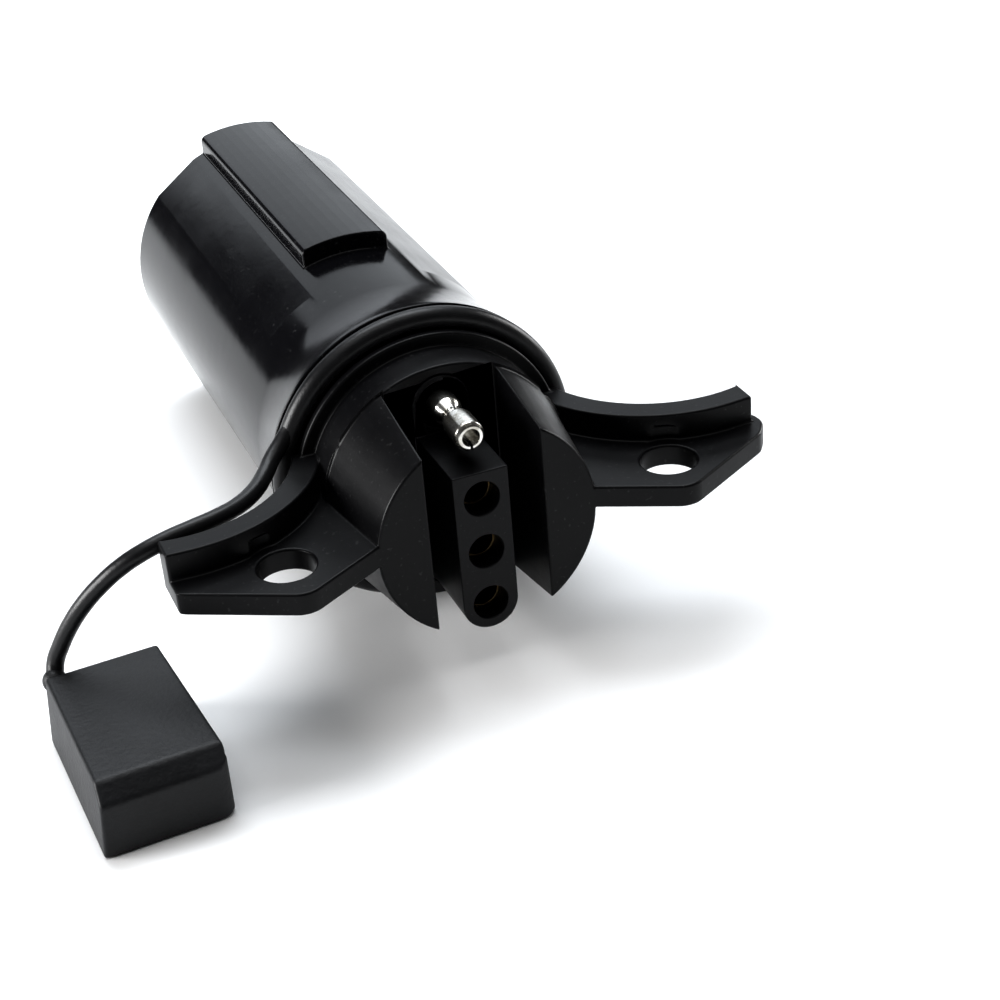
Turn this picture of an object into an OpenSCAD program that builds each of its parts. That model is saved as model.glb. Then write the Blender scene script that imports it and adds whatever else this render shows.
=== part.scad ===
// Seven-way to four-flat trailer wiring adapter with a tethered dust cap.
//
// Origin: centre of the seven-way plug's mouth, on the axis of its barrel.
// +Y is the way the plug goes into the vehicle's socket, +Z is the side of the
// key rail, and the four-flat end with its hood faces -Y.
// All sizes are in millimetres.

/* [Plug barrel] */
// Outer radius of the seven-way plug barrel
barrel_r = 22.5; // [21:0.1:24]
// Length of the plug barrel, from its mouth to the seat of the tether ring
barrel_len = 89.5; // [80:0.5:100]
// Wall thickness of the barrel
barrel_wall = 2; // [1.5:0.1:2.2]
// Distance from the axis to each flat shoulder beside the key rail
shoulder_dist = 22; // [21.8:0.05:22.4]
// Radius of the flared lip at the front of the barrel
flare_r = 24; // [23:0.1:24.1]
// Length of the flare
flare_len = 12; // [6:0.5:14]
// Width of the key rail
rail_w = 14.4; // [12:0.1:15]
// Radius of the crowned top of the key rail, from the barrel's axis
rail_r = 25.4; // [24.5:0.1:26.5]
// Length of the key rail, from the mouth
rail_len = 61.5; // [50:0.5:70]

/* [Contact carrier] */
// Radius of the insulating contact carrier
carrier_r = 19.8; // [18:0.1:19.9]
// Length of the carrier
carrier_len = 25; // [20:0.5:30]
// How far the carrier's face sits inside the mouth
carrier_inset = 2.2; // [1:0.1:4]
// Radius of each of the seven contact holes
way_r = 4.65; // [4:0.05:4.8]
// Radius of the circle on which six of the holes lie
way_circle_r = 12.7; // [12:0.1:13]
// Depth of the contact holes
way_depth = 20; // [12:0.5:21]

/* [Front housing] */
// Radius of the round boss in front of the tether ring
boss_r = 19.25; // [18:0.05:20]
// Radius of the boss at the tips of its two cheeks
cheek_tip_r = 16.75; // [15:0.05:18]
// Distance from the ring's seat to the floor of the slot
slot_floor = 8; // [6:0.5:10]
// Distance from the ring's seat to the front of the cheeks
cheek_front = 24.2; // [20:0.1:28]
// Half the width of the slot between the cheeks
slot_half_w = 8.85; // [8.5:0.05:9.5]

/* [Wings] */
// Height of the top of the wing's shelf above the axis
shelf_top = 2.4; // [0:0.1:4]
// Thickness of the shelf
shelf_t = 3.5; // [3:0.1:5]
// Height of the top of the finger rib above the axis
rib_top = 6.7; // [5:0.1:9]
// Thickness of the finger rib
rib_t = 4.2; // [3:0.1:5]
// Distance from the axis to each mounting hole
hole_x = 29.5; // [28:0.5:31]
// Radius of the mounting holes
hole_r = 4.2; // [3:0.1:4.5]
// Radius of the washer relief round each mounting hole
relief_r = 6.1; // [5.5:0.1:7]

/* [Four-flat connector] */
// Distance between neighbouring ways
pitch = 8.8; // [8.5:0.1:9.2]
// Width of the tongue that holds the three sockets
tongue_w = 8.6; // [8:0.1:9]
// Distance from the ring's seat to the front of the tongue
tongue_front = 22.3; // [20:0.1:24]
// Radius of the socket holes in the tongue
socket_r = 2.7; // [2.5:0.1:3]
// Inner radius of the socket sleeves
sleeve_bore_r = 2.35; // [2.2:0.05:2.4]
// Radius of the bullet pin's head and body
pin_r = 2.3; // [2:0.05:2.4]
// Distance from the ring's seat to the tip of the bullet pin
pin_front = 20; // [18:0.5:22]

/* [Tether and cap] */
// Radius of the tether ring's round section
ring_section_r = 1.7; // [1.4:0.05:1.8]
// Diameter of the tether strap
strap_d = 2.6; // [2.4:0.1:3.2]
// Width of the cap, from its closed side to its mouth
cap_w = 17.6; // [17:0.1:19]
// Length of the cap
cap_len = 29.6; // [29:0.2:32]
// Thickness of the cap
cap_t = 11; // [10.8:0.1:12]
// Wall thickness of the cap
cap_wall = 1.1; // [1:0.05:1.15]
// How far the cap's mouth is bowed outwards
mouth_bow = 0.8; // [0.5:0.1:2]
// Turn of the cap about its strap as it lies
cap_yaw = 2.5; // [0:0.5:5]

/* [Hidden] */
$fn = 96;
eps = 0.01;
front_y = -barrel_len - 3.5;            // plane of the ring's seat
bore_r = barrel_r - barrel_wall;
spigot_r = bore_r - 0.6;                // of the housing's spigot in the barrel
shoulder_angle = 54;                    // of each shoulder's normal, from +X
key_tab_w = 8.5;
key_tab_top = 22;
carrier_back = -carrier_inset - carrier_len;
carrier_flange_t = 3;                   // centres the carrier in the barrel
ledge_r = 18;                           // stop ring behind the carrier
ledge_t = 2;
spigot_len = 8;
neck_r = barrel_r - 1.85;               // seat of the tether ring
ring_width = 2 * ring_section_r + 0.1;
flange_r = 21.3;
flange_t = 1.5;
hollow_r = boss_r - 2;
floor_t = 2.5;
seat_half_w = 4.5;                      // round-ended base of the socket block
seat_end = 17.7;
seat_proud = 0.3;
hole_y = -22.2;                         // from the ring's seat
rib_centre = [40.5, 5.5];               // of the finger ribs' arcs
rib_r = 20;
relief_h = 2.4;                         // height of the washer relief over the shelf
sleeve_recess = 3.5;
pin_recess = 2;                         // round sink in the block for the pin's root
pin_recess_r = 3.7;
tail_r = 1.6;                           // of the contacts' and terminals' tails
wire_r = 1.2;
wire_start_len = 11;                    // from the carrier's back to the leads
wire_start_y = carrier_back - wire_start_len;
wire_end_y = front_y + 3;
resin_t = 6;
floor_z = -ring_section_r - barrel_r;   // the surface that everything lies on
cap_corner = [-64, front_y - 9.4, floor_z];
cap_draft = 1;                          // lean of the cap's closed side
bead_r = 1.9;                           // of the cap's bead that holds the strap

// Contact places seen from the four-flat end: [x, z].
way_ground = [0, way_circle_r];
way_tail = way_circle_r * [-cos(30), sin(30)];
way_right = way_circle_r * [-cos(30), -sin(30)];
way_left = way_circle_r * [cos(30), -sin(30)];
way_empty = [[0, 0], way_circle_r * [cos(30), sin(30)], [0, -way_circle_r]];

// Heights of the four-flat ways.
z_ground = 1.5 * pitch;
z_tail = 0.5 * pitch;
z_left = -0.5 * pitch;
z_right = -1.5 * pitch;

// The strap's route, from the tether ring to the corner of the cap.
strap_route = [
    [-18.5, -91.3, 12.8],
    [-20.2, -91.4, 10.5],
    [-22.0, -91.9, 8.7],
    [-24.3, -93.5, 7.2],
    [-26.5, -96.2, 6.2],
    [-29.0, -99.0, 5.7],
    [-32.3, -101.5, 5.5],
    [-35.8, -103.2, 5.6],
    [-39.7, -104.3, 5.6],
    [-43.5, -104.9, 5.3],
    [-47.0, -105.1, 4.5],
    [-50.3, -104.5, 2.8],
    [-53.4, -103.4, 0.2],
    [-56.3, -102.2, -3.0],
    [-58.8, -101.0, -6.7],
    [-60.6, -100.2, -10.1],
    [-61.7, -99.9, -12.5]
];

// A cylinder along Y, from y0 to y1.
module rod(r, y0, y1, r_end = -1) {
    translate([0, y1, 0]) rotate([90, 0, 0])
        cylinder(h = y1 - y0, r1 = r_end < 0 ? r : r_end, r2 = r);
}

// A flat outline in X and Z, made solid from y0 to y1.
module slab(y0, y1) {
    translate([0, y1, 0]) rotate([90, 0, 0]) linear_extrude(y1 - y0) children();
}

// A profile of [radius, y] points turned about the Y axis.
module turned(profile) {
    rotate([-90, 0, 0]) rotate_extrude() polygon(profile);
}

// Direction of the route at point i.
function route_way(route, i) =
    let (a = route[max(i - 1, 0)], b = route[min(i + 1, len(route) - 1)])
    (b - a) / norm(b - a);

// An eight-sided tube swept along a route that never runs straight up.
module swept(route, r) {
    sides = 8;
    rings = [for (i = [0:len(route) - 1])
        let (
            way = route_way(route, i),
            side = cross(way, [0, 0, 1]) / norm(cross(way, [0, 0, 1])),
            up = cross(side, way)
        )
        [for (k = [0:sides - 1]) route[i] + r * (cos(360 * k / sides) * side + sin(360 * k / sides) * up)]
    ];
    points = [for (ring = rings) each ring];
    last = len(points) - sides;
    walls = [for (i = [0:len(route) - 2], k = [0:sides - 1])
        let (a = i * sides + k, b = i * sides + (k + 1) % sides)
        each [[a, b, b + sides], [a, b + sides, a + sides]]
    ];
    near_end = [for (k = [1:sides - 2]) [0, k + 1, k]];
    far_end = [for (k = [1:sides - 2]) [last, last + k, last + k + 1]];
    polyhedron(points, concat(walls, near_end, far_end), convexity = 4);
}

module rail_outline(half_w, r, corner_r = 0) {
    offset(r = corner_r) offset(delta = -corner_r) intersection() {
        translate([-half_w, 0]) square([2 * half_w, r]);
        circle(r);
    }
}

module barrel_shell() {
    lip_y = -barrel_len;
    color([0.05, 0.05, 0.055]) difference() {
        union() {
            difference() {
                rod(barrel_r, lip_y + eps, 0);
                for (a = [shoulder_angle, 180 - shoulder_angle])
                    rotate([0, -a, 0]) translate([shoulder_dist, -rail_len - 9, -10])
                        cube([5, rail_len + 10, 20]);
            }
            turned([
                for (i = [0:8]) let (t = i / 8)
                    [barrel_r + (flare_r - barrel_r) * pow(1 - t, 1.7), lip_y + flare_len * t],
                [spigot_r, lip_y + flare_len],
                [spigot_r, lip_y]
            ]);
            slab(-rail_len, 0) rail_outline(rail_w / 2, rail_r, 1.2);
        }
        rod(bore_r, carrier_back, 1);
        rod(ledge_r, carrier_back - ledge_t - 1, carrier_back + 1);
        rod(spigot_r, lip_y - 1, carrier_back - ledge_t);
        slab(carrier_back, 1) rail_outline(key_tab_w / 2 + 0.4, key_tab_top + 0.5);
    }
}

// Outline of a wing seen from above, on the +X side.
module wing_outline() {
    difference() {
        offset(r = 4) offset(delta = -4) polygon([
            [10, 0], [46, 0], [46, -14.5], [47.5, -18.5], [45, -22],
            [29, -31], [16.75, -cheek_front], [10, -cheek_front]
        ]);
        translate(rib_centre) circle(rib_r);
    }
}

module wing() {
    bottom = shelf_top - shelf_t;
    difference() {
        union() {
            translate([0, front_y, bottom]) linear_extrude(shelf_t) wing_outline();
            translate([0, front_y, bottom]) linear_extrude(rib_top - bottom)
                intersection() {
                    wing_outline();
                    translate(rib_centre) circle(rib_r + rib_t);
                    polygon([[10, 0], [47, 0], [46, -13.8], [44.2, -19], [10, -26]]);
                }
        }
        translate([hole_x, front_y + hole_y, bottom - 1]) cylinder(h = shelf_t + 2, r = hole_r);
        translate([hole_x, front_y + hole_y, shelf_top]) cylinder(h = relief_h, r = relief_r);
    }
}

// Outline with round ends, between two heights.
module round_ended(half_w, z0, z1) {
    translate([0, z0 + half_w]) circle(half_w);
    translate([0, z1 - half_w]) circle(half_w);
    translate([-half_w, z0 + half_w]) square([2 * half_w, z1 - z0 - 2 * half_w]);
}

module front_housing() {
    floor_y = front_y - slot_floor;
    cheek_y = front_y - cheek_front;
    core_r = cheek_tip_r - 2;
    color([0.045, 0.045, 0.05]) difference() {
        union() {
            rod(boss_r, floor_y, front_y);
            difference() {
                rod(cheek_tip_r, cheek_y, floor_y + eps, boss_r);
                translate([-slot_half_w, cheek_y - 1, -boss_r])
                    cube([2 * slot_half_w, cheek_front - slot_floor + 1, 2 * boss_r]);
            }
            rod(flange_r, front_y - flange_t, front_y);
            rod(neck_r, front_y, front_y + ring_width);
            rod(spigot_r, front_y + ring_width, front_y + ring_width + spigot_len);
            wing();
            mirror([1, 0, 0]) wing();
        }
        rod(hollow_r, floor_y + floor_t, 0);
        difference() {
            rod(core_r, cheek_y + 2, floor_y + floor_t + eps);
            translate([-slot_half_w - 2, cheek_y, -boss_r])
                cube([2 * slot_half_w + 4, cheek_front, 2 * boss_r]);
        }
        slab(floor_y - 1, front_y) round_ended(seat_half_w, -seat_end, seat_end);
    }
}

module contact_carrier() {
    face_y = -carrier_inset;
    ways = concat(way_empty, [way_ground, way_tail, way_right, way_left]);
    color([0.09, 0.1, 0.12]) difference() {
        union() {
            rod(bore_r, carrier_back, carrier_back + carrier_flange_t);
            rod(carrier_r, carrier_back, face_y - 0.8);
            rod(carrier_r, face_y - 0.8 - eps, face_y, carrier_r - 0.8);
            slab(carrier_back, face_y) rail_outline(key_tab_w / 2, key_tab_top);
        }
        for (w = ways) translate([w[0], 0, w[1]]) rod(way_r, face_y - way_depth, 0);
        for (w = [way_ground, way_tail, way_right, way_left])
            translate([w[0], 0, w[1]]) rod(tail_r, carrier_back - 1, face_y);
    }
}

// Solid tail of a contact, from the bottom of its hole to its solder joint.
module contact_tail() {
    rod(tail_r, wire_start_y, -carrier_inset - way_depth + 1);
}

// Round cup contact, flush with the carrier's face.
module round_contact(place) {
    cup_r = way_r - 0.05;
    color([0.78, 0.5, 0.2]) translate([place[0], 0, place[1]]) {
        difference() {
            rod(cup_r, -carrier_inset - way_depth, -carrier_inset - 0.2);
            rod(cup_r - 0.9, -carrier_inset - 12, 0);
        }
        contact_tail();
    }
}

// Folded contact with a flat side that faces away from the barrel's axis.
module folded_contact(place) {
    outer_r = 4.3;
    flat_dist = 3.2;
    sheet = 0.8;
    turn = atan2(place[1], place[0]);
    color([0.78, 0.5, 0.2]) translate([place[0], 0, place[1]]) {
        rotate([0, -turn, 0]) difference() {
            slab(-carrier_inset - way_depth, -carrier_inset - 1) intersection() {
                circle(outer_r);
                translate([-outer_r, -outer_r]) square([outer_r + flat_dist, 2 * outer_r]);
            }
            slab(-carrier_inset - 12, 0) intersection() {
                circle(outer_r - sheet);
                translate([-outer_r, -outer_r]) square([outer_r + flat_dist - sheet, 2 * outer_r]);
            }
        }
        contact_tail();
    }
}

module ground_contact() round_contact(way_ground);
module tail_light_contact() folded_contact(way_tail);
module left_turn_contact() folded_contact(way_left);
module right_turn_contact() folded_contact(way_right);

// Beads that join the wires to the contacts' tails.
module solder_joints() {
    bead_len = wire_start_len - ledge_t - resin_t;
    color([0.7, 0.7, 0.72]) for (w = [way_ground, way_tail, way_right, way_left])
        translate([w[0], wire_start_y, w[1]]) difference() {
            turned([[0, -0.5], [1.8, -0.5], [2.2, 1], [1.9, bead_len - 0.6], [tail_r, bead_len], [0, bead_len]]);
            rod(tail_r, 0, bead_len + 1);
            rod(wire_r, -1, 0.1);
        }
}

// Sealing resin poured behind the carrier.
module carrier_resin() {
    resin_y = carrier_back - ledge_t;
    color([0.12, 0.12, 0.12]) difference() {
        union() {
            rod(spigot_r, resin_y - resin_t, resin_y);
            rod(ledge_r, resin_y - eps, carrier_back);
        }
        for (w = [way_ground, way_tail, way_right, way_left])
            translate([w[0], 0, w[1]]) rod(tail_r, resin_y - resin_t - 1, 0);
    }
}

// A lead from a contact's tail to a four-flat terminal at height z.
module lead(place, z) {
    steps = 12;
    route = [for (i = [0:steps])
        let (t = i / steps, s = t * t * (3 - 2 * t))
        [place[0] * (1 - s), wire_start_y + (wire_end_y - wire_start_y) * t, place[1] + (z - place[1]) * s]
    ];
    swept(route, wire_r);
}

module ground_wire() color("white") lead(way_ground, z_ground);
module tail_light_wire() color("saddlebrown") lead(way_tail, z_tail);
module left_turn_wire() color("gold") lead(way_left, z_left);
module right_turn_wire() color("green") lead(way_right, z_right);

module socket_block() {
    floor_y = front_y - slot_floor;
    back_y = floor_y + floor_t + 3;
    top_z = z_tail + tongue_w / 2;
    color([0.04, 0.04, 0.045]) difference() {
        union() {
            slab(floor_y + floor_t, back_y) intersection() {
                circle(hollow_r - 0.3);
                square([15, 2 * hollow_r], center = true);
            }
            slab(floor_y - seat_proud, floor_y + floor_t + eps)
                round_ended(seat_half_w, -seat_end, seat_end);
            slab(front_y - tongue_front, floor_y) {
                translate([0, z_right]) circle(tongue_w / 2);
                translate([-tongue_w / 2, z_right]) square([tongue_w, top_z - z_right]);
            }
        }
        for (z = [z_tail, z_left, z_right])
            translate([0, 0, z]) rod(socket_r, front_y - tongue_front - 1, back_y + 1);
        translate([0, 0, z_ground]) {
            rod(tail_r, floor_y - 2, back_y + 1);
            rod(pin_recess_r, floor_y - 2, floor_y - seat_proud + pin_recess);
        }
    }
}

// Hollow cup behind a terminal that takes the end of its lead.
module crimp_cup(y0) {
    cup_depth = 2.5;
    difference() {
        rod(1.9, y0, wire_end_y + cup_depth);
        rod(wire_r + 0.15, wire_end_y, wire_end_y + cup_depth + 1);
    }
}

module ground_pin() {
    floor_y = front_y - slot_floor - seat_proud + pin_recess;
    tip_y = front_y - pin_front;
    back_y = front_y - slot_floor + floor_t + 3;
    color([0.75, 0.76, 0.78]) translate([0, 0, z_ground]) {
        difference() {
            turned([
                [0, tip_y], [pin_r - 0.5, tip_y], [pin_r - 0.1, tip_y + 0.4], [pin_r, tip_y + 1],
                [pin_r, tip_y + 5], [pin_r - 0.3, tip_y + 6], [1.5, tip_y + 6.8],
                [1.5, tip_y + 7.6], [pin_r - 0.3, tip_y + 8.4], [pin_r, tip_y + 9.2],
                [pin_r, floor_y], [0, floor_y]
            ]);
            rod(1.3, tip_y - 1, tip_y + 5);
            translate([-0.15, tip_y - 1, -pin_r - 1]) cube([0.3, 4.5, pin_r + 1]);
        }
        rod(tail_r, floor_y - eps, back_y);
        crimp_cup(back_y - eps);
    }
}

// Plated sleeve that grips the mating bullet pin.
module socket_sleeve(z) {
    front = front_y - tongue_front + sleeve_recess;
    back_y = front_y - slot_floor + floor_t + 3;
    color([0.72, 0.55, 0.28]) translate([0, 0, z]) {
        difference() {
            rod(socket_r, front, back_y);
            rod(sleeve_bore_r, front - 1, back_y - 4);
        }
        crimp_cup(back_y - eps);
    }
}

module tail_light_socket() socket_sleeve(z_tail);
module left_turn_socket() socket_sleeve(z_left);
module right_turn_socket() socket_sleeve(z_right);

// Rubber loop that holds the tether, seated round the neck.
module tether_ring() {
    color([0.06, 0.06, 0.06]) translate([0, front_y + ring_width / 2, 0])
        rotate([90, 0, 0]) rotate_extrude() translate([barrel_r, 0]) circle(ring_section_r);
}

module tether() {
    color([0.07, 0.07, 0.07]) swept(strap_route, strap_d / 2);
}

// Outline of the cap seen from above. Its back left corner is at the origin,
// and its mouth, on the +X side, is bowed outwards and rounded at the front.
module cap_outline() {
    corner_r = 2.5;
    bow_r = (pow(cap_len / 2, 2) + pow(mouth_bow, 2)) / (2 * mouth_bow);
    difference() {
        union() {
            translate([-cap_draft, -cap_len]) square([cap_w - mouth_bow + cap_draft, cap_len]);
            intersection() {
                translate([0, -cap_len]) square([cap_w + 1, cap_len]);
                translate([cap_w - bow_r, -cap_len / 2]) circle(bow_r, $fn = 192);
            }
        }
        translate([cap_w - mouth_bow - corner_r + 0.4, corner_r - cap_len]) difference() {
            translate([0, -corner_r - 1]) square(corner_r + 1);
            circle(corner_r);
        }
    }
}

// Space in the cap, round at the front like the foot of the tongue.
module cap_space() {
    wall = (cap_len - 2 * pitch - tongue_w) / 2 - 0.3;
    half_h = cap_t / 2 - cap_wall;
    translate([2, 0, cap_t / 2]) {
        translate([0, half_h + wall - cap_len, 0]) rotate([0, 90, 0]) cylinder(h = cap_w, r = half_h);
        translate([0, half_h + wall - cap_len, -half_h])
            cube([cap_w, cap_len - 2 * wall - half_h, 2 * half_h]);
    }
}

// Soft boot that fits over the tongue of the four-flat connector.
module dust_cap() {
    color([0.16, 0.16, 0.17]) translate(cap_corner) rotate([0, 0, cap_yaw]) difference() {
        union() {
            linear_extrude(cap_t) cap_outline();
            translate([1.5, 1, cap_t - 1.6]) {
                sphere(bead_r - 0.1);
                translate([0, 0, -1]) cylinder(h = 2, r = bead_r - 0.3);
            }
        }
        cap_space();
        translate([-cap_draft, 0, 0]) rotate([0, atan(cap_draft / cap_t), 0])
            translate([-5, -cap_len - 1, -1]) cube([5, cap_len - 0.5, cap_t + 3]);
        translate([-5, -cap_len, cap_t - 2.2]) rotate([atan(2.2 / 3), 0, 0])
            translate([0, -1, 0]) cube([cap_w + 10, 8, 4]);
    }
}

barrel_shell();
front_housing();
contact_carrier();
ground_contact();
tail_light_contact();
left_turn_contact();
right_turn_contact();
solder_joints();
carrier_resin();
ground_wire();
tail_light_wire();
left_turn_wire();
right_turn_wire();
socket_block();
ground_pin();
tail_light_socket();
left_turn_socket();
right_turn_socket();
tether_ring();
tether();
dust_cap();
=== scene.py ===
import bpy
import bmesh
from math import cos, pi, radians, sin
from mathutils import Matrix, Vector


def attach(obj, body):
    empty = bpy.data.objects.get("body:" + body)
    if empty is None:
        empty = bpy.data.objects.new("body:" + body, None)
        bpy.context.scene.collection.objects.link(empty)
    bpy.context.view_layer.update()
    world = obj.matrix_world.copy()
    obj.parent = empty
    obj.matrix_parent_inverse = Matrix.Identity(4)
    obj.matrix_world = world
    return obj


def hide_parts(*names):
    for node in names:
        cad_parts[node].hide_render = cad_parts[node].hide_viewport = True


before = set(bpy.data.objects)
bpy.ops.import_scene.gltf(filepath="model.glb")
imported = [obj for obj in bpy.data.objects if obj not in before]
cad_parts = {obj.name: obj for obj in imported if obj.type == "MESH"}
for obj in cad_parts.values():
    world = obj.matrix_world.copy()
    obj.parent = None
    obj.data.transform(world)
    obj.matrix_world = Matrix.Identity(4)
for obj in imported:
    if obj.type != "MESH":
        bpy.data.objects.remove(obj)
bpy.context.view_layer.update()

# Camera. It looks down on the adapter from the front left, close enough for
# the wings to spread towards it, with a slight roll to the left.
azimuth, height, roll = radians(-18.17), radians(29.23), radians(-5.9)
back = Vector((sin(azimuth) * cos(height), -cos(azimuth) * cos(height), sin(height)))
across = Vector((cos(azimuth), sin(azimuth), 0))
upright = back.cross(across)
across, upright = (cos(roll) * across + sin(roll) * upright,
                   cos(roll) * upright - sin(roll) * across)
camera_data = bpy.data.cameras.new("camera")
camera = bpy.data.objects.new("camera", camera_data)
bpy.context.scene.collection.objects.link(camera)
bpy.context.scene.camera = camera
camera_data.sensor_width, camera_data.lens = 36, 70.85
camera_data.shift_x, camera_data.shift_y = 0.0712, -0.0417
camera_data.clip_start, camera_data.clip_end = 0.02, 20
looked_at, distance = Vector((0, -0.093, 0)), 0.3
facing = Matrix((across, upright, back)).transposed()
camera.matrix_world = Matrix.Translation(looked_at + distance * back) @ facing.to_4x4()


# Tether. A soft rubber string, moulded in one piece with the loop round the
# adapter's neck, that keeps the dust cap from getting lost. It leaves the loop
# on the left, runs above the left wing, behind its rib, and droops to the cap.
def rubber(name, colour, roughness, grain, depth):
    """Moulded rubber: dull, with a fine grain and faint dusty patches."""
    made = bpy.data.materials.new(name)
    made.use_nodes = True
    nodes, links = made.node_tree.nodes, made.node_tree.links
    shader = nodes["Principled BSDF"]
    place = nodes.new("ShaderNodeTexCoord")
    patches = nodes.new("ShaderNodeTexNoise")
    patches.inputs["Scale"].default_value = 140
    patches.inputs["Detail"].default_value = 6
    patches.inputs["Roughness"].default_value = 0.65
    tone = nodes.new("ShaderNodeValToRGB")
    tone.color_ramp.elements[0].position = 0.32
    tone.color_ramp.elements[0].color = (*[0.7 * c for c in colour], 1)
    tone.color_ramp.elements[1].position = 0.72
    tone.color_ramp.elements[1].color = (*[1.35 * c for c in colour], 1)
    pores = nodes.new("ShaderNodeTexNoise")
    pores.inputs["Scale"].default_value = grain
    pores.inputs["Detail"].default_value = 3
    bump = nodes.new("ShaderNodeBump")
    bump.inputs["Strength"].default_value = 0.6
    bump.inputs["Distance"].default_value = depth
    dull = nodes.new("ShaderNodeMapRange")
    dull.inputs["To Min"].default_value = roughness - 0.06
    dull.inputs["To Max"].default_value = roughness + 0.08
    links.new(place.outputs["Object"], patches.inputs["Vector"])
    links.new(place.outputs["Object"], pores.inputs["Vector"])
    links.new(patches.outputs["Fac"], tone.inputs["Fac"])
    links.new(tone.outputs["Color"], shader.inputs["Base Color"])
    links.new(patches.outputs["Fac"], dull.inputs["Value"])
    links.new(dull.outputs["Result"], shader.inputs["Roughness"])
    links.new(pores.outputs["Fac"], bump.inputs["Height"])
    links.new(bump.outputs["Normal"], shader.inputs["Normal"])
    shader.inputs["Specular IOR Level"].default_value = 0.34
    return made


tether_rubber = rubber("tether rubber", (0.010, 0.010, 0.011), 0.34, 1800, 0.00006)

# The strap's middle line, from the loop to the cap's lug, in millimetres.
strap_route = [
    (-18.5, -91.3, 12.8), (-20.2, -91.4, 10.5), (-22.0, -91.9, 8.7), (-24.3, -93.5, 7.2),
    (-26.5, -96.2, 6.2), (-29.0, -99.0, 5.7), (-32.3, -101.5, 5.5), (-35.8, -103.2, 5.6),
    (-39.7, -104.3, 5.6), (-43.5, -104.9, 5.3), (-47.0, -105.1, 4.5), (-50.3, -104.5, 2.8),
    (-53.4, -103.4, 0.2), (-56.3, -102.2, -3.0), (-58.8, -101.0, -6.7), (-60.6, -100.2, -10.1),
    (-61.7, -99.9, -12.5), (-62.2, -100.4, -14.0),
]
strap_line = bpy.data.curves.new("strap", "CURVE")
strap_line.dimensions = "3D"
strap_line.bevel_depth = 0.0013
strap_line.bevel_resolution = 6
strap_line.resolution_u = 8
strap_line.use_fill_caps = True
spline = strap_line.splines.new("BEZIER")
spline.bezier_points.add(len(strap_route) - 1)
for point, spot in zip(spline.bezier_points, strap_route):
    point.co = Vector(spot) / 1000
    point.handle_left_type = point.handle_right_type = "AUTO"
strap = bpy.data.objects.new("strap", strap_line)
bpy.context.scene.collection.objects.link(strap)
strap.data.materials.append(tether_rubber)
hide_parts("tether")
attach(strap, "tether")


def place_at_origin(piece, turn=Matrix()):
    """Moves a piece's place into its mesh and leaves its object at the origin."""
    piece.data.transform(turn @ piece.matrix_world)
    piece.matrix_world = Matrix()


# The loop is a round ring, a little flattened where it grips the neck, with a
# low swelling at the root of the strap.
loop_middle, strap_root = Vector((0, -0.09125, 0)), Vector((-0.0187, -0.09125, 0.0126))
grip_radius, root_reach, swelling_reach = 0.0212, 0.0012, 0.003
bpy.ops.object.select_all(action="DESELECT")
bpy.ops.mesh.primitive_torus_add(major_radius=0.0225, minor_radius=0.0017,
                                 major_segments=160, minor_segments=28,
                                 location=loop_middle, rotation=(pi / 2, 0, 0))
loop = bpy.context.object
loop.name = "tether_loop"
place_at_origin(loop)
bpy.ops.object.mode_set(mode="EDIT")
bpy.ops.mesh.select_all(action="DESELECT")
inside = bmesh.from_edit_mesh(loop.data)
for v in inside.verts:
    v.select = Vector((v.co.x, v.co.z)).length < grip_radius
inside.select_flush(True)
bmesh.update_edit_mesh(loop.data)
bpy.ops.transform.resize(value=(1.008, 0.55, 1.008), center_override=loop_middle)
bpy.ops.mesh.select_all(action="DESELECT")
root = bmesh.from_edit_mesh(loop.data)
for v in root.verts:
    v.select = (v.co - strap_root).length < root_reach
root.select_flush(True)
bmesh.update_edit_mesh(loop.data)
bpy.ops.transform.resize(value=(1.12, 1.12, 1.12), center_override=strap_root,
                         use_proportional_edit=True, proportional_size=swelling_reach,
                         proportional_edit_falloff="SMOOTH")
bpy.ops.object.mode_set(mode="OBJECT")
bpy.ops.object.shade_smooth()
loop.data.materials.append(tether_rubber)
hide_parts("tether_ring")
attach(loop, "tether")


# Dust cap. A soft rubber boot, open on its right side, that is pushed over the
# tongue with the three sockets. Moulded in dark grey rubber with a low lug at
# one corner, into which the strap runs.
cap_rubber = rubber("cap rubber", (0.011, 0.0115, 0.013), 0.46, 1300, 0.00014)
# The boot is cap_w wide, cap_len long and cap_t thick. Its left side leans out
# by cap_draft at the floor, and its mouth bows and flares to the right.
cap_w, cap_len, cap_t, cap_draft = 0.0176, 0.0296, 0.011, 0.001
mouth_bow, mouth_flare = 0.0008, 0.0011
side_wall, back_wall, tiny = 0.0013, 0.002, 0.0001
cap_place = Matrix.Translation((-0.064, -0.1024, -0.0242)) @ Matrix.Rotation(radians(2.5), 4, "Z")
bpy.ops.object.select_all(action="DESELECT")
bpy.ops.mesh.primitive_cube_add(
    size=1, location=((cap_w - mouth_bow) / 2, -cap_len / 2, cap_t / 2),
    scale=(cap_w - mouth_bow, cap_len, cap_t))
cap = bpy.context.object
cap.name = "cap_boot"
place_at_origin(cap)
bpy.ops.object.mode_set(mode="EDIT")


def choose(piece, kind, wanted):
    """Selects the vertices, edges or faces of a piece whose middle is wanted."""
    shape = bmesh.from_edit_mesh(piece.data)
    bpy.context.tool_settings.mesh_select_mode = [
        kind == each for each in ("verts", "edges", "faces")]
    bpy.ops.mesh.select_all(action="DESELECT")
    for part in getattr(shape, kind):
        if kind == "verts":
            middle = part.co
        elif kind == "edges":
            middle = (part.verts[0].co + part.verts[1].co) / 2
        else:
            middle = part.calc_center_median()
        if wanted(part, middle):
            part.select_set(True)
    shape.select_flush_mode()
    bmesh.update_edit_mesh(piece.data)


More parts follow.
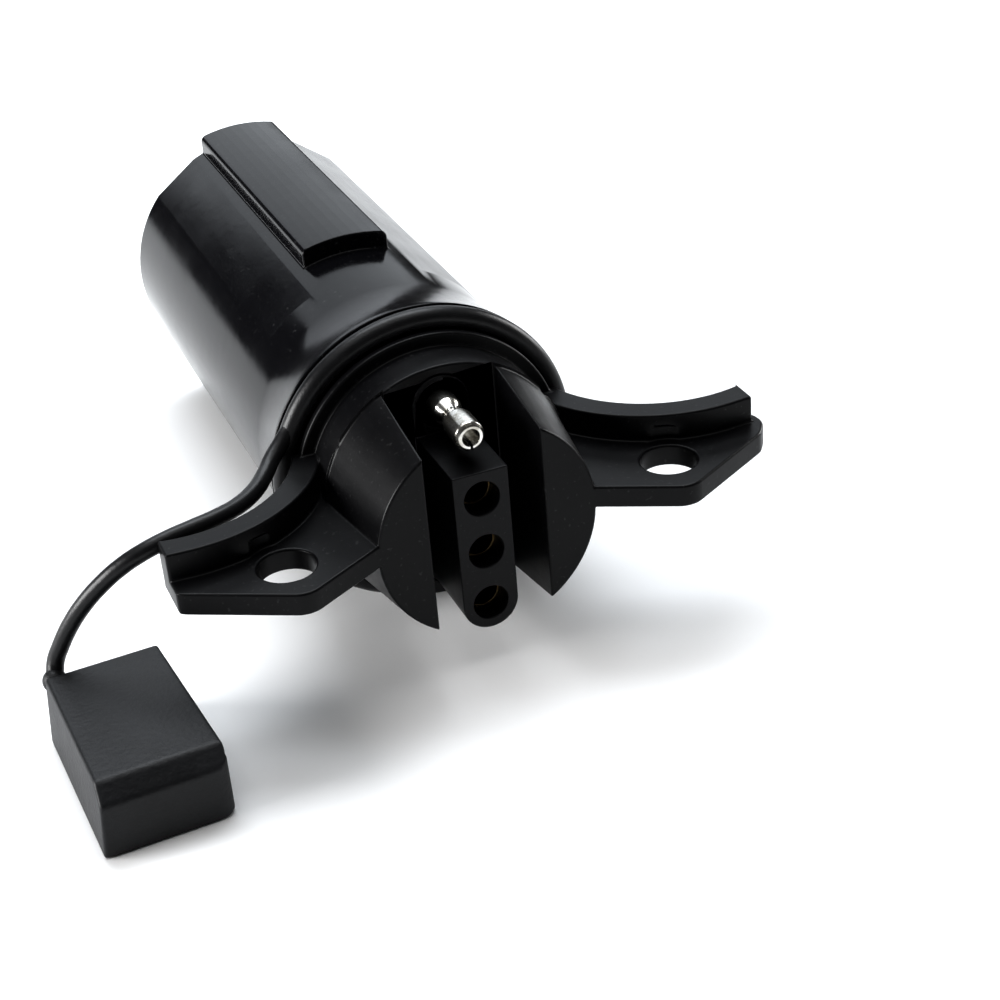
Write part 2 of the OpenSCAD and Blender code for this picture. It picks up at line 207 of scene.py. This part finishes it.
def is_upright_mouth_edge(edge, middle):
    """The mouth's standing edges at the cap's near end."""
    height = abs(edge.verts[0].co.z - edge.verts[1].co.z)
    return middle.x > cap_w - 0.0012 and middle.y < -cap_len + 0.0002 and height > 0.003


def is_outer_edge(edge, middle):
    """A sharp edge on the cap's outside, and not one of the hollow's."""
    if len(edge.link_faces) != 2 or edge.calc_face_angle() <= radians(25):
        return False
    behind_mouth = middle.x < cap_w - 0.0012 or middle.y < -cap_len + 0.0012
    on_rim = middle.y > -tiny or middle.z < tiny or middle.z > cap_t - tiny
    within = 0.0005 < middle.z < cap_t - 0.0005 and -cap_len + 0.0005 < middle.y < -0.0005
    return (behind_mouth or on_rim) and not (within and middle.x > 0.001)


choose(cap, "verts", lambda v, m: m.x < tiny and m.z < tiny)
bpy.ops.transform.translate(value=(-cap_draft, 0, 0))
choose(cap, "faces", lambda f, m: f.normal.x > 0.9)
bpy.ops.mesh.inset(thickness=side_wall, depth=0)
bpy.ops.mesh.extrude_region_move(
    TRANSFORM_OT_translate={"value": (back_wall - cap_w + mouth_bow, 0, 0)})
bpy.ops.transform.resize(value=(1, 0.93, 0.86), center_override=(0, -cap_len / 2, cap_t / 2))
choose(cap, "edges", lambda e, m: abs(m.y + cap_len) < 1e-5 and abs(m.z - cap_t) < 1e-5)
bpy.ops.mesh.bevel(offset=0.0026, segments=1, affect="EDGES")
choose(cap, "edges", is_upright_mouth_edge)
bpy.ops.mesh.bevel(offset=0.0022, segments=7, affect="EDGES")
choose(cap, "edges", is_outer_edge)
bpy.ops.mesh.bevel(offset=0.00045, segments=3, affect="EDGES")
bpy.ops.object.mode_set(mode="OBJECT")
for v in cap.data.vertices:
    along = -v.co.y / cap_len
    spread = mouth_bow * (4 * along * (1 - along)) + mouth_flare * along ** 2
    v.co.x += spread * max(0, min(1, v.co.x / cap_w))
# Voxels fuse and round what the bevels leave, as a worn rubber mould would.
bpy.ops.object.modifier_add(type="REMESH")
cap.modifiers[-1].mode = "VOXEL"
cap.modifiers[-1].voxel_size = 0.00016
bpy.ops.object.modifier_apply(modifier=cap.modifiers[-1].name)
bpy.ops.object.modifier_add(type="SMOOTH")
cap.modifiers[-1].factor, cap.modifiers[-1].iterations = 0.5, 6
bpy.ops.object.modifier_apply(modifier=cap.modifiers[-1].name)
bpy.ops.object.modifier_add(type="DECIMATE")
cap.modifiers[-1].ratio = 0.25
bpy.ops.object.modifier_apply(modifier=cap.modifiers[-1].name)
bpy.ops.object.shade_smooth()
# The lug, a low ball that stands out of the corner where the strap arrives.
bpy.ops.object.select_all(action="DESELECT")
bpy.ops.mesh.primitive_uv_sphere_add(segments=32, ring_count=20, radius=0.0018,
                                     location=(0.0015, 0.001, 0.0094))
lug = bpy.context.object
place_at_origin(lug)
lug.select_set(True)
cap.select_set(True)
bpy.context.view_layer.objects.active = cap
bpy.ops.object.join()
place_at_origin(cap, cap_place)
cap.data.materials.clear()
cap.data.materials.append(cap_rubber)
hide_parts("dust_cap")
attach(cap, "cap")


# Plug barrel. One gloss black moulding: a round shell with a key rail, two flat
# shoulders beside it and a flared lip. Its edges are softened by the mould.
def gloss_plastic(name, colour, roughness, peel=0.00003, shine=0.22):
    """Polished black moulding: a trace of orange peel, wipe marks and fine dust."""
    made = bpy.data.materials.new(name)
    made.use_nodes = True
    nodes, links = made.node_tree.nodes, made.node_tree.links
    shader = nodes["Principled BSDF"]
    shader.inputs["IOR"].default_value = 1.48
    shader.inputs["Specular IOR Level"].default_value = shine
    place = nodes.new("ShaderNodeTexCoord")
    cloud = nodes.new("ShaderNodeTexNoise")
    cloud.inputs["Scale"].default_value = 60
    cloud.inputs["Detail"].default_value = 5
    wiped = nodes.new("ShaderNodeMapping")
    wiped.inputs["Scale"].default_value = (900, 45, 900)
    streaks = nodes.new("ShaderNodeTexNoise")
    streaks.inputs["Scale"].default_value = 1
    streaks.inputs["Detail"].default_value = 2
    both = nodes.new("ShaderNodeMath")
    both.operation = "MULTIPLY_ADD"
    both.inputs[1].default_value = 0.25
    dull = nodes.new("ShaderNodeMapRange")
    dull.inputs["From Min"].default_value = 0.35
    dull.inputs["From Max"].default_value = 0.95
    dull.inputs["To Min"].default_value = max(0.03, roughness - 0.05)
    dull.inputs["To Max"].default_value = roughness + 0.1
    specks = nodes.new("ShaderNodeTexNoise")
    specks.inputs["Scale"].default_value = 1500
    specks.inputs["Detail"].default_value = 1
    tone = nodes.new("ShaderNodeValToRGB")
    tone.color_ramp.elements[0].position, tone.color_ramp.elements[0].color = 0.66, (*colour, 1)
    tone.color_ramp.elements[1].position = 0.8
    tone.color_ramp.elements[1].color = (*[c + 0.02 for c in colour], 1)
    skin = nodes.new("ShaderNodeTexNoise")
    skin.inputs["Scale"].default_value = 420
    skin.inputs["Detail"].default_value = 2
    bump = nodes.new("ShaderNodeBump")
    bump.inputs["Strength"].default_value = 0.35
    bump.inputs["Distance"].default_value = peel
    for texture in (cloud, wiped, specks, skin):
        links.new(place.outputs["Object"], texture.inputs["Vector"])
    links.new(wiped.outputs["Vector"], streaks.inputs["Vector"])
    links.new(streaks.outputs["Fac"], both.inputs[0])
    links.new(cloud.outputs["Fac"], both.inputs[2])
    links.new(both.outputs["Value"], dull.inputs["Value"])
    links.new(dull.outputs["Result"], shader.inputs["Roughness"])
    links.new(specks.outputs["Fac"], tone.inputs["Fac"])
    links.new(tone.outputs["Color"], shader.inputs["Base Color"])
    links.new(skin.outputs["Fac"], bump.inputs["Height"])
    links.new(bump.outputs["Normal"], shader.inputs["Normal"])
    return made


def softened(node, name, edge, material, body="adapter", reshape=None):
    """The node's own shape, trimmed by reshape if given, with its edges rounded."""
    bpy.ops.object.select_all(action="DESELECT")
    piece = bpy.data.objects.new(name, bpy.data.objects[node].data.copy())
    bpy.context.scene.collection.objects.link(piece)
    piece.select_set(True)
    bpy.context.view_layer.objects.active = piece
    bpy.ops.object.mode_set(mode="EDIT")
    bpy.ops.mesh.select_all(action="SELECT")
    bpy.ops.mesh.remove_doubles(threshold=0.000002)
    bpy.ops.mesh.dissolve_limited(angle_limit=radians(0.4))
    if reshape:
        reshape(piece)
    bpy.ops.object.mode_set(mode="OBJECT")
    bpy.ops.object.modifier_add(type="BEVEL")
    rounding = piece.modifiers[-1]
    rounding.width, rounding.segments = edge, 3
    rounding.limit_method, rounding.angle_limit = "ANGLE", radians(38)
    rounding.use_clamp_overlap = False
    bpy.ops.object.modifier_apply(modifier=rounding.name)
    bpy.ops.object.shade_smooth_by_angle(angle=radians(40))
    bpy.ops.object.modifier_add(type="WEIGHTED_NORMAL")
    piece.modifiers[-1].keep_sharp = True
    bpy.ops.object.modifier_apply(modifier=piece.modifiers[-1].name)
    piece.data.materials.clear()
    piece.data.materials.append(material)
    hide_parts(node)
    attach(piece, body)


barrel_gloss = gloss_plastic("barrel gloss black", (0.003, 0.003, 0.004), 0.13)
softened("barrel_shell", "plug_barrel_shell", 0.0003, barrel_gloss)

# Front housing. The round boss, the split hood and the finger wings are one
# moulding of the same black plastic, pushed into the barrel and glued.
housing_satin = gloss_plastic("housing satin black", (0.003, 0.003, 0.0037), 0.33, 0.00006, 0.2)


def square_rib_ends(housing):
    """Squares both ribs' ends, and cuts the left wing's tip flat in line with its rib."""
    rib_end, left_tip, rib_foot, corner_reach = 0.0455, 0.0453, 0.0023, 0.0005
    for side in (-1, 1):
        corners = (Vector((side * 0.046, -0.1067)), Vector((side * 0.0444, -0.1114)))
        choose(housing, "verts", lambda v, m: m.z > rib_foot and min(
            (m.xy - corner).length for corner in corners) < corner_reach)
        bpy.ops.transform.resize(value=(0, 1, 1), center_override=(side * rib_end, 0, 0))
    bpy.ops.mesh.select_all(action="SELECT")
    bpy.ops.mesh.bisect(plane_co=(-left_tip, 0, 0), plane_no=(1, 0, 0),
                        clear_inner=True, use_fill=True)


softened("front_housing", "hood_and_wings", 0.0004, housing_satin,
         reshape=square_rib_ends)

# Four-flat moulding. The tongue with the three sockets and the seat of the bare
# pin are one block of semi-matte black plastic, pushed in from behind.
block_plastic = gloss_plastic("block black", (0.004, 0.004, 0.005), 0.34, 0.00008)
softened("socket_block", "tongue_block", 0.00022, block_plastic)


# Metal of the four-flat end. The bare pin is turned and tin plated, with a
# grooved neck, and moulded into its seat. The three sleeves, seated in the
# tongue, are rolled, plated and dull; their brass colour is darkened to a
# painted shade, standing in for the shade that falls inside the socket holes.
def metal(name, colour, dark, roughness, scale):
    """Plated or rolled metal: brushed round by handling, darker where it tarnishes."""
    made = bpy.data.materials.new(name)
    made.use_nodes = True
    nodes, links = made.node_tree.nodes, made.node_tree.links
    shader = nodes["Principled BSDF"]
    shader.inputs["Metallic"].default_value = 1
    place = nodes.new("ShaderNodeTexCoord")
    stain = nodes.new("ShaderNodeTexNoise")
    stain.inputs["Scale"].default_value = scale
    stain.inputs["Detail"].default_value = 6
    stain.inputs["Roughness"].default_value = 0.6
    tone = nodes.new("ShaderNodeValToRGB")
    tone.color_ramp.elements[0].position, tone.color_ramp.elements[0].color = 0.36, (*dark, 1)
    tone.color_ramp.elements[1].position, tone.color_ramp.elements[1].color = 0.6, (*colour, 1)
    dull = nodes.new("ShaderNodeMapRange")
    dull.inputs["To Min"].default_value = roughness + 0.14
    dull.inputs["To Max"].default_value = roughness - 0.06
    marks = nodes.new("ShaderNodeTexNoise")
    marks.inputs["Scale"].default_value = 2600
    marks.inputs["Detail"].default_value = 2
    bump = nodes.new("ShaderNodeBump")
    bump.inputs["Strength"].default_value = 0.3
    bump.inputs["Distance"].default_value = 0.00003
    links.new(place.outputs["Object"], stain.inputs["Vector"])
    links.new(place.outputs["Object"], marks.inputs["Vector"])
    links.new(stain.outputs["Fac"], tone.inputs["Fac"])
    links.new(tone.outputs["Color"], shader.inputs["Base Color"])
    links.new(stain.outputs["Fac"], dull.inputs["Value"])
    links.new(dull.outputs["Result"], shader.inputs["Roughness"])
    links.new(marks.outputs["Fac"], bump.inputs["Height"])
    links.new(bump.outputs["Normal"], shader.inputs["Normal"])
    return made


def finish_node(node, material):
    """Gives a CAD node that nothing replaces its own finish."""
    piece = bpy.data.objects[node]
    piece.data.materials.clear()
    piece.data.materials.append(material)


tin = metal("tin plate", (0.80, 0.79, 0.76), (0.45, 0.43, 0.38), 0.2, 500)
softened("ground_pin", "bullet_pin", 0.00012, tin)
# Painted shade: the sleeves' brass colour is darkened for the shade inside the socket holes.
sleeve_brass_painted_shade = metal("sleeve brass painted shade", (0.36, 0.25, 0.11), (0.12, 0.08, 0.04), 0.35, 420)
for sleeve in ("tail_light_socket", "left_turn_socket", "right_turn_socket"):
    softened(sleeve, sleeve.replace("socket", "sleeve"), 0.0001, sleeve_brass_painted_shade)

# Plug end. The carrier is a dark moulding with seven holes; four of them hold
# brass contacts, a round cup at the key and three folded ones.
carrier_plastic = gloss_plastic("carrier blue black", (0.014, 0.017, 0.024), 0.36, 0.00008)
softened("contact_carrier", "plug_insert", 0.00025, carrier_plastic)
contact_brass = metal("contact brass", (0.86, 0.56, 0.20), (0.42, 0.17, 0.05), 0.24, 260)
for contact in ("ground_contact", "tail_light_contact", "left_turn_contact", "right_turn_contact"):
    softened(contact, contact.replace("contact", "terminal"), 0.00012, contact_brass)

# Hidden wiring. Four insulated leads run through the barrel, soldered to the
# contacts' tails behind a plug of sealing resin.
solder = metal("solder", (0.62, 0.62, 0.63), (0.35, 0.35, 0.36), 0.4, 600)
finish_node("solder_joints", solder)
finish_node("carrier_resin", gloss_plastic("sealing resin", (0.03, 0.03, 0.03), 0.4, 0.0002))
lead_colours = {"ground_wire": (0.75, 0.75, 0.72), "tail_light_wire": (0.13, 0.05, 0.02),
                "left_turn_wire": (0.7, 0.45, 0.02), "right_turn_wire": (0.02, 0.22, 0.05)}
for lead, colour in lead_colours.items():
    finish_node(lead, rubber(lead.replace("_", " ") + " cover", colour, 0.38, 1500, 0.00003))


# Floor and light. A white table under five soft boxes: one overhead that lights
# the table, two behind, one above the other, which the tops of the barrel and
# rail mirror, and a small one on each side. Only the camera sees the bright sky.
bpy.context.scene.view_settings.view_transform = "Standard"
bpy.context.scene.view_settings.gamma = 0.8
bpy.ops.object.select_all(action="DESELECT")
bpy.ops.mesh.primitive_plane_add(size=4, location=(0, 0, -0.02425))
floor = bpy.context.object
floor.name = "floor"
white = bpy.data.materials.new("white table")
white.use_nodes = True
surface = white.node_tree.nodes["Principled BSDF"].inputs
surface["Base Color"].default_value = (0.9, 0.9, 0.9, 1)
surface["Roughness"].default_value = 0.9
surface["Specular IOR Level"].default_value = 0.1
floor.data.materials.append(white)

world = bpy.data.worlds.new("studio")
bpy.context.scene.world = world
world.use_nodes = True
sky = world.node_tree.nodes["Background"]
seen = world.node_tree.nodes.new("ShaderNodeLightPath")
sky.inputs["Color"].default_value = (1, 1, 1, 1)
glow = world.node_tree.nodes.new("ShaderNodeMapRange")
glow.inputs["To Min"].default_value = 0.06
glow.inputs["To Max"].default_value = 0.95
world.node_tree.links.new(seen.outputs["Is Camera Ray"], glow.inputs["Value"])
world.node_tree.links.new(glow.outputs["Result"], sky.inputs["Strength"])


def soft_box(name, place, aim, size, brightness, tint=(1, 1, 1)):
    """A rectangular lamp of the given brightness, which its area spreads."""
    light = bpy.data.lights.new(name, "AREA")
    light.color = tint
    light.shape = "RECTANGLE"
    light.size, light.size_y = size
    light.energy = brightness * pi * size[0] * size[1]
    lamp = bpy.data.objects.new(name, light)
    lamp.location = place
    lamp.rotation_euler = (Vector(place) - Vector(aim)).to_track_quat("Z", "Y").to_euler()
    bpy.context.scene.collection.objects.link(lamp)


barrel_middle, cool = (0, -0.05, 0), (0.9, 0.95, 1)
soft_box("overhead box", (0, 0.05, 1.1), barrel_middle, (1.3, 1.3), 1.7)
soft_box("back box", (0.24, 1.1, 0.52), barrel_middle, (1.35, 0.6), 1.7, cool)
soft_box("upper back box", (0.15, 0.42, 1.0), barrel_middle, (0.9, 0.6), 6.0, cool)
soft_box("left box", (-0.9, 0.06, 0.22), (-0.02, -0.1, 0), (0.6, 0.4), 20.0)
soft_box("right box", (1.0, 0.15, 0.26), (0, -0.08, 0), (0.5, 0.5), 10.0)
